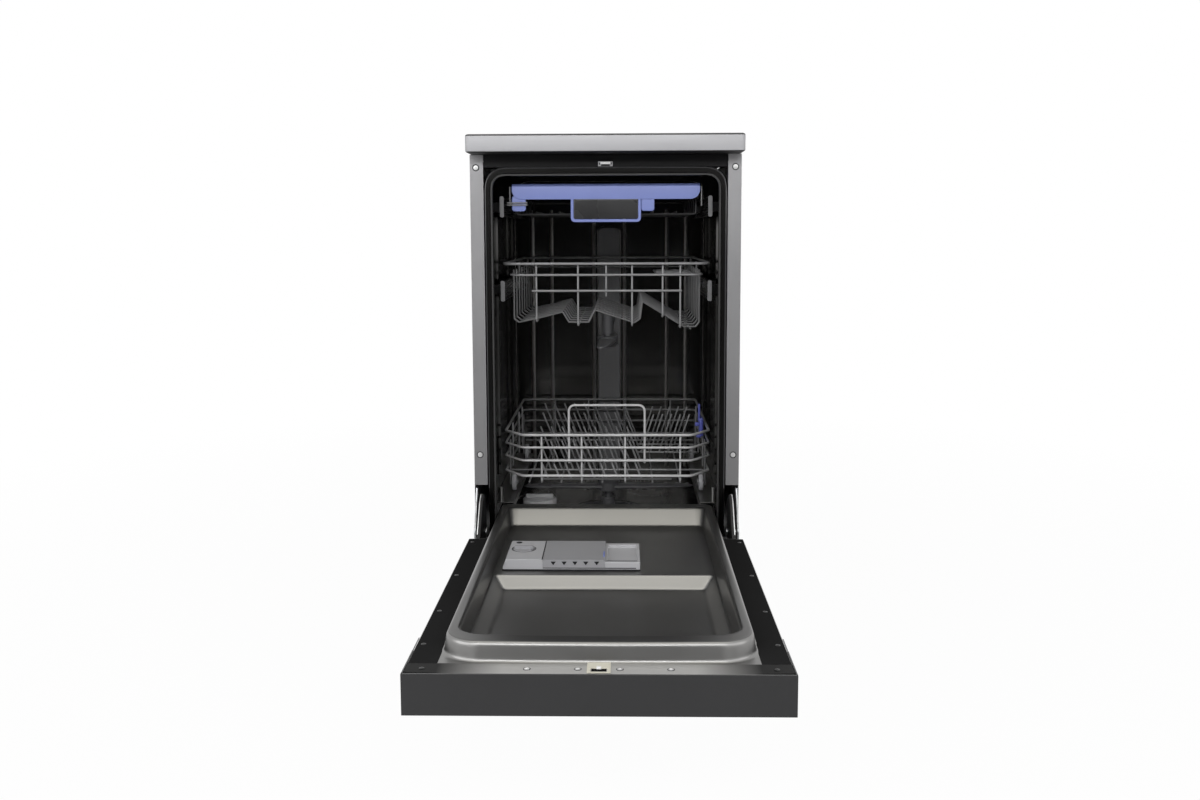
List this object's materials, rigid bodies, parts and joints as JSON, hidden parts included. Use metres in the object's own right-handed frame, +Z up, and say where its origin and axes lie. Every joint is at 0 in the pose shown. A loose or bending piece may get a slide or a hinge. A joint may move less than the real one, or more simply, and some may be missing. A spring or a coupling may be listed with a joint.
{
  "type": "slimline dishwasher",
  "caption": "Narrow free-standing dishwasher with a fold-down door, detergent dispenser, cutlery tray, upper basket on rails and rolling lower basket.",
  "frame": {"origin": "on the floor under the middle of the worktop", "axes": "+Z up, the front and the open door towards -Y, +X to the right as seen from the front"},
  "size_m": [0.448, 1.189, 0.85],
  "materials": {
    "worktop_laminate": "smooth grey laminate on chipboard",
    "silver_panel": "silver-grey painted sheet steel",
    "dark_panel": "dark painted sheet steel",
    "stainless": "polished stainless sheet",
    "zinc_steel": "zinc-plated steel",
    "black_plastic": "black moulded plastic",
    "grey_plastic": "light grey moulded plastic",
    "fascia_plastic": "dark grey moulded plastic",
    "cream_plastic": "cream moulded plastic",
    "blue_plastic": "blue moulded plastic",
    "coated_wire": "grey nylon-coated steel wire",
    "seal_rubber": "black rubber",
    "cast_weight": "rough cast iron",
    "clear_window": "smoked clear window",
    "button_plastic": "silver moulded plastic",
    "circuit_board": "green circuit board"
  },
  "bodies": {
    "cabinet": {"worktop": "worktop_laminate", "side_panel_left": "silver_panel", "side_panel_right": "silver_panel", "back_panel": "zinc_steel", "base_tray": "black_plastic", "kick_plate": "dark_panel", "front_crossbar": "zinc_steel", "door_strike": "zinc_steel", "panel_screws": "zinc_steel", "counterweight": "cast_weight", "tub": "stainless", "tub_floor": "stainless", "tub_gasket": "seal_rubber", "feed_duct": "black_plastic", "sump": "grey_plastic", "filter_plate": "stainless", "wash_pump": "black_plastic", "drain_pump": "black_plastic", "water_softener": "grey_plastic", "inlet_valve": "grey_plastic", "lower_basket_tracks": "stainless", "rail_guides": "grey_plastic", "hinge_brackets": "zinc_steel", "door_springs": "zinc_steel"},
    "left_foot": {"foot_front_left": "black_plastic"},
    "right_foot": {"foot_front_right": "black_plastic"},
    "door": {"door_outer_panel": "silver_panel", "control_panel": "fascia_plastic", "display_window": "clear_window", "control_board": "circuit_board", "door_liner": "stainless", "door_screws": "zinc_steel", "door_latch": "cream_plastic", "door_bottom_seal": "seal_rubber", "hinge_arms": "dark_panel", "dispenser_body": "grey_plastic"},
    "detergent_lid": {"dispenser_lid": "grey_plastic"},
    "rinse_cap": {"rinse_aid_cap": "grey_plastic"},
    "power_key": {"button_power": "button_plastic"},
    "program_key": {"button_program": "button_plastic"},
    "start_key": {"button_start": "button_plastic"},
    "cutlery_tray": {"tray_frame": "coated_wire", "tray_handle": "blue_plastic"},
    "tray_runners": {"tray_rails": "zinc_steel"},
    "upper_basket": {"upper_basket_rims": "coated_wire", "upper_basket_floor": "coated_wire", "upper_basket_wires": "coated_wire", "upper_feed_pipe": "grey_plastic"},
    "upper_runners": {"upper_rails": "zinc_steel"},
    "upper_arm": {"upper_spray_arm": "grey_plastic"},
    "shelf": {"cup_shelf": "coated_wire"},
    "lower_basket": {"lower_basket_rims": "coated_wire", "lower_basket_wires": "coated_wire", "tine_clip": "blue_plastic"},
    "tines": {"folding_tines": "coated_wire"},
    "front_wheels": {"lower_front_wheels": "grey_plastic"},
    "rear_wheels": {"lower_rear_wheels": "grey_plastic"},
    "lower_arm": {"lower_spray_arm": "grey_plastic"},
    "filter": {"filter_cylinder": "grey_plastic"},
    "salt_lid": {"salt_cap": "grey_plastic"}
  },
  "joints": [
    {"name": "door_hinge", "type": "hinge", "parent": "cabinet", "child": "door", "pos_m": [0, -0.2635, 0.1905], "axis": [-1, 0, 0], "range_deg": [0, 90]},
    {"name": "detergent_lid_slide", "type": "slide", "parent": "door", "child": "detergent_lid", "axis": [1, 0, 0], "range_m": [0, 0.046]},
    {"name": "rinse_cap_turn", "type": "hinge", "parent": "door", "child": "rinse_cap", "pos_m": [-0.123, -0.44412, 0.212], "axis": [0, 0, 1], "range_deg": [0, 90]},
    {"name": "power_press", "type": "slide", "parent": "door", "child": "power_key", "axis": [0, 0, 1], "range_m": [0, 0.0012], "stiffness_N_per_m": 800},
    {"name": "program_press", "type": "slide", "parent": "door", "child": "program_key", "axis": [0, 0, 1], "range_m": [0, 0.0012], "stiffness_N_per_m": 800},
    {"name": "start_press", "type": "slide", "parent": "door", "child": "start_key", "axis": [0, 0, 1], "range_m": [0, 0.0012], "stiffness_N_per_m": 800},
    {"name": "tray_slide", "type": "slide", "parent": "cabinet", "child": "cutlery_tray", "axis": [0, 1, 0], "range_m": [-0.38, 0]},
    {"name": "tray_rail_slide", "type": "slide", "parent": "cabinet", "child": "tray_runners", "axis": [0, 1, 0], "range_m": [-0.19, 0]},
    {"name": "upper_basket_slide", "type": "slide", "parent": "cabinet", "child": "upper_basket", "axis": [0, 1, 0], "range_m": [-0.38, 0]},
    {"name": "upper_rail_slide", "type": "slide", "parent": "cabinet", "child": "upper_runners", "axis": [0, 1, 0], "range_m": [-0.19, 0]},
    {"name": "upper_arm_spin", "type": "hinge", "parent": "upper_basket", "child": "upper_arm", "pos_m": [0, 0, 0.4895], "axis": [0, 0, 1], "continuous": true},
    {"name": "cup_shelf_fold", "type": "hinge", "parent": "upper_basket", "child": "shelf", "pos_m": [0.15675, 0, 0.618], "axis": [0, 1, 0], "range_deg": [0, 85]},
    {"name": "lower_basket_roll", "type": "slide", "parent": "cabinet", "child": "lower_basket", "axis": [0, 1, 0], "range_m": [-0.4, 0]},
    {"name": "front_wheel_roll", "type": "hinge", "parent": "lower_basket", "child": "front_wheels", "pos_m": [0, -0.105, 0.2403], "axis": [1, 0, 0], "continuous": true},
    {"name": "rear_wheel_roll", "type": "hinge", "parent": "lower_basket", "child": "rear_wheels", "pos_m": [0, 0.165, 0.2403], "axis": [1, 0, 0], "continuous": true},
    {"name": "tine_fold", "type": "hinge", "parent": "lower_basket", "child": "tines", "pos_m": [0.115, 0.05888, 0.2615], "axis": [-1, 0, 0], "range_deg": [0, 80]},
    {"name": "lower_arm_spin", "type": "hinge", "parent": "cabinet", "child": "lower_arm", "pos_m": [0, 0, 0.208], "axis": [0, 0, 1], "continuous": true},
    {"name": "filter_turn", "type": "hinge", "parent": "cabinet", "child": "filter", "pos_m": [0.04, 0, 0.15], "axis": [0, 0, 1], "range_deg": [0, 60]},
    {"name": "salt_cap_turn", "type": "hinge", "parent": "cabinet", "child": "salt_lid", "pos_m": [-0.134, 0.018, 0.17], "axis": [0, 0, 1], "range_deg": [0, 180]},
    {"name": "left_foot_turn", "type": "hinge", "parent": "cabinet", "child": "left_foot", "pos_m": [-0.2007, -0.221, 0.02], "axis": [0, 0, 1], "continuous": true},
    {"name": "right_foot_turn", "type": "hinge", "parent": "cabinet", "child": "right_foot", "pos_m": [0.2007, -0.221, 0.02], "axis": [0, 0, 1], "continuous": true}
  ],
  "couplings": [
    {"joint": "tray_rail_slide", "follows": "tray_slide", "ratio": 0.5},
    {"joint": "upper_rail_slide", "follows": "upper_basket_slide", "ratio": 0.5},
    {"joint": "front_wheel_roll", "follows": "lower_basket_roll", "rad_per_m": -62.5},
    {"joint": "rear_wheel_roll", "follows": "lower_basket_roll", "rad_per_m": -62.5}
  ]
}
